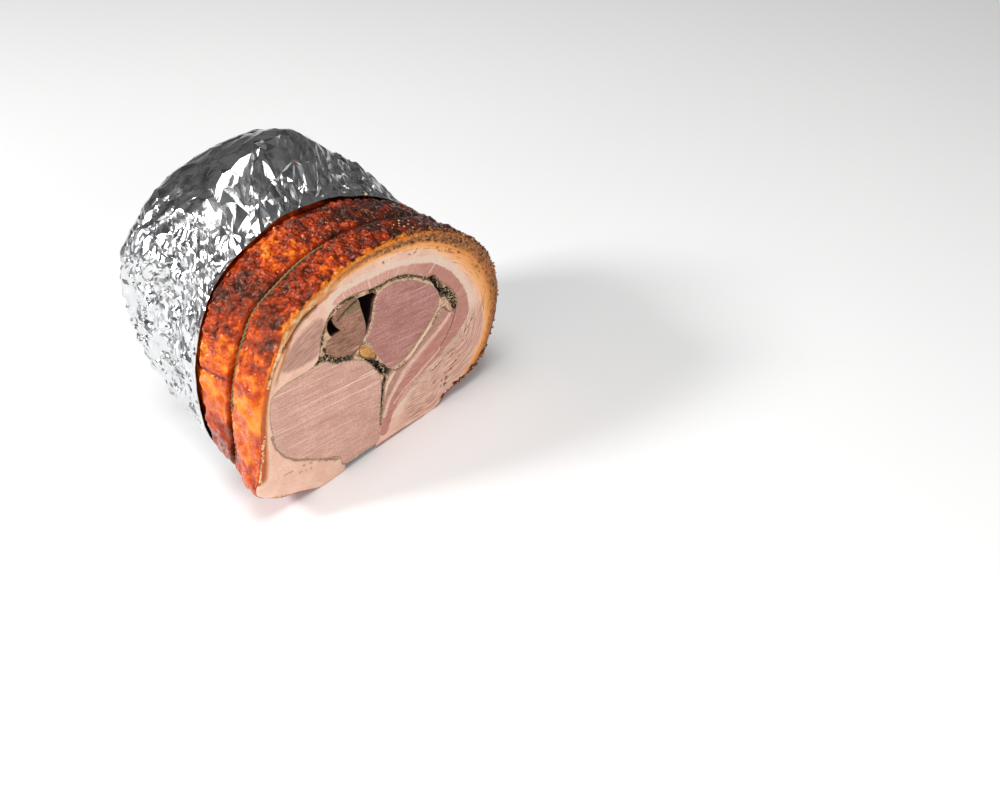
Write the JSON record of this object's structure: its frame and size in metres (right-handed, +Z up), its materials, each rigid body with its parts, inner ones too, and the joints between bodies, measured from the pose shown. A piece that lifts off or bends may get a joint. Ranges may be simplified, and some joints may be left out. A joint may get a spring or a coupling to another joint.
{
  "type": "rolled pork roast",
  "caption": "Rolled pork roast with crackling rind, cut across to show the meats and herbs inside, tied with twine, far end wrapped in foil.",
  "frame": {"origin": "on the surface it rests on, under the middle of the whole part's box", "axes": "-Y out of the cut face, +Y along the roast towards the foil end, +X to the right when looking at the cut face, +Z up"},
  "size_m": [0.2428, 0.165, 0.2036],
  "materials": {
    "rind": "roasted crackling, glossy with fat",
    "pale_meat": "cooked pale pork, moist",
    "pink_meat": "cooked pink pork, moist",
    "brown_meat": "cooked brown pork, moist",
    "tan_fat": "cooked fat, moist",
    "herbs": "dark cooked herb paste",
    "twine": "greasy cotton twine",
    "foil": "bright crumpled foil"
  },
  "bodies": {
    "root": {"belly_roll": "rind", "loin": "pale_meat", "collar_muscle": "pink_meat", "core_piece": "brown_meat", "fat_nugget": "tan_fat", "herb_filling": "herbs", "twine": "twine", "foil_wrap": "foil"}
  },
  "joints": []
}
